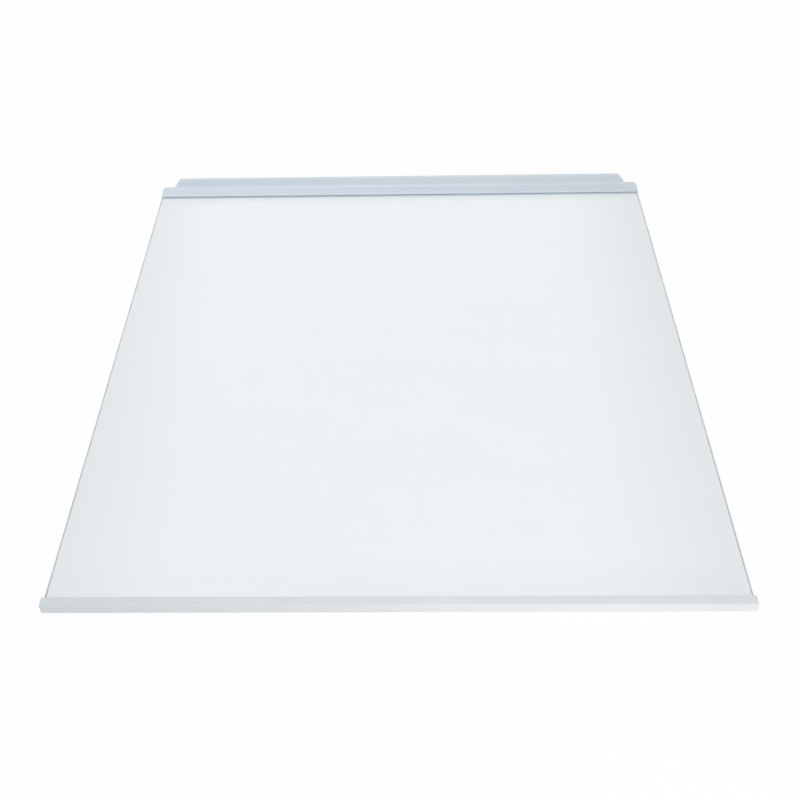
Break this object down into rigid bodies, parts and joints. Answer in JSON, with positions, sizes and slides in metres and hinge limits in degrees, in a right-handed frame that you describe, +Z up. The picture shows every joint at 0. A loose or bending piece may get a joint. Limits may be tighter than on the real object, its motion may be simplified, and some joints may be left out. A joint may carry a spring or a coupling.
{
  "type": "refrigerator glass shelf",
  "caption": "Flat toughened glass shelf with a slim plastic channel trim along the front and a wider channel trim with an upstanding lip along the back, carried on ledges in a refrigerator.",
  "frame": {"origin": "middle of the shelf's plan, on the plane that both trims stand on", "axes": "+X to the right along the trims, +Y to the back of the cabinet, +Z up"},
  "size_m": [0.4222, 0.448, 0.0165],
  "materials": {
    "toughened_glass": "clear, with ground edges",
    "front_plastic": "moulded, satin",
    "rear_plastic": "extruded, satin"
  },
  "bodies": {
    "root": {"glass_pane": "toughened_glass", "front_trim": "front_plastic", "rear_trim": "rear_plastic"}
  },
  "joints": []
}
